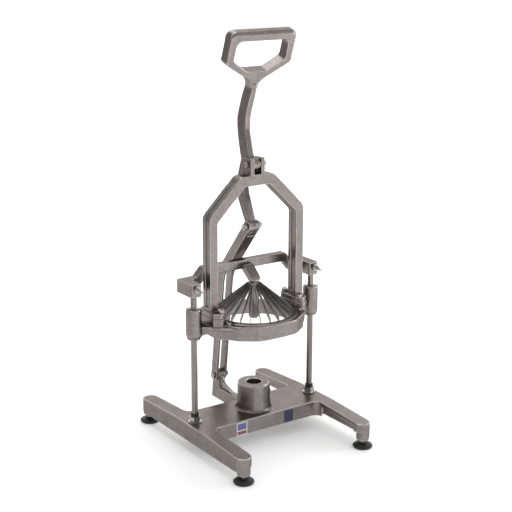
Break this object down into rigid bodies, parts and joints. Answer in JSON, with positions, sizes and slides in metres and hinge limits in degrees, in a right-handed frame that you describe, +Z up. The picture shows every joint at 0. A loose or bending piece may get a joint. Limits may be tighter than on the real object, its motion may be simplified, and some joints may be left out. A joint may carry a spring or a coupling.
{
  "type": "blooming onion cutter",
  "caption": "Bench-top lever press that drives a ring of radial blades and a core tube down over an onion on a pedestal, with a toggle handle, guide rods and a stripping crossbar.",
  "frame": {"origin": "on the table, under the centre of the base, half-way between the two guide rods", "axes": "+X to the operator's right along the crossbar, -Y towards the operator, +Z up along the guide rods"},
  "size_m": [0.255, 0.306, 0.6435],
  "materials": {
    "cast_aluminium": "satin, as cast and tumbled",
    "stainless_rod": "ground and polished",
    "bright_hardware": "bright, turned",
    "blade_steel": "satin stainless",
    "bushing_bronze": "machined",
    "bushing_steel": "machined, bright rim",
    "black_rubber": "matt moulded",
    "label_left": "printed film, plain colour blocks",
    "label_right": "printed film, plain"
  },
  "bodies": {
    "base": {"base_casting": "cast_aluminium", "rubber_feet": "black_rubber", "foot_studs": "stainless_rod", "guide_rod_left": "stainless_rod", "guide_rod_right": "stainless_rod", "rod_washers": "bright_hardware", "rod_nuts": "bright_hardware", "rod_lower_nuts": "bright_hardware", "bumper_left": "black_rubber", "bumper_right": "black_rubber", "top_crossbar": "cast_aluminium", "core_ejector": "cast_aluminium", "ejector_screws": "bright_hardware", "lug_bushing": "bushing_bronze", "front_label_left": "label_left", "front_label_right": "label_right"},
    "carriage": {"blade_carrier": "cast_aluminium", "guide_bushings": "bushing_steel", "yoke": "cast_aluminium", "yoke_screws": "bright_hardware", "blade_ring": "blade_steel", "blades": "blade_steel", "core_tube": "blade_steel", "blade_collar": "blade_steel", "blade_ring_screws": "bright_hardware", "pivot_pin": "bright_hardware", "pivot_nut": "bright_hardware"},
    "handle": {"handle": "cast_aluminium"},
    "link": {"link_arm": "cast_aluminium", "knee_bolt": "bright_hardware", "knee_nut": "bright_hardware", "link_pivot_bolt": "bright_hardware", "link_pivot_nut": "bright_hardware"},
    "left_wing_screw": {"wing_screw_left": "bright_hardware"},
    "right_wing_screw": {"wing_screw_right": "bright_hardware"}
  },
  "joints": [
    {"name": "carriage_slide", "type": "slide", "parent": "base", "child": "carriage", "axis": [0, 0, 1], "range_m": [-0.12, 0]},
    {"name": "handle_pivot", "type": "hinge", "parent": "carriage", "child": "handle", "pos_m": [0, 0, 0.43912], "axis": [1, 0, 0], "range_deg": [0, 110]},
    {"name": "knee_pivot", "type": "hinge", "parent": "handle", "child": "link", "pos_m": [0, 0.006, 0.34162], "axis": [1, 0, 0], "range_deg": [-127, 0]},
    {"name": "left_wing_turn", "type": "hinge", "parent": "base", "child": "left_wing_screw", "pos_m": [-0.11, -0.0093, 0.26222], "axis": [0, 1, 0], "continuous": true},
    {"name": "right_wing_turn", "type": "hinge", "parent": "base", "child": "right_wing_screw", "pos_m": [0.11, -0.0093, 0.26222], "axis": [0, 1, 0], "continuous": true}
  ],
  "couplings": [
    {"joint": "handle_pivot", "follows": "carriage_slide", "rad_per_m": -15.967},
    {"joint": "knee_pivot", "follows": "carriage_slide", "rad_per_m": 18.435}
  ]
}
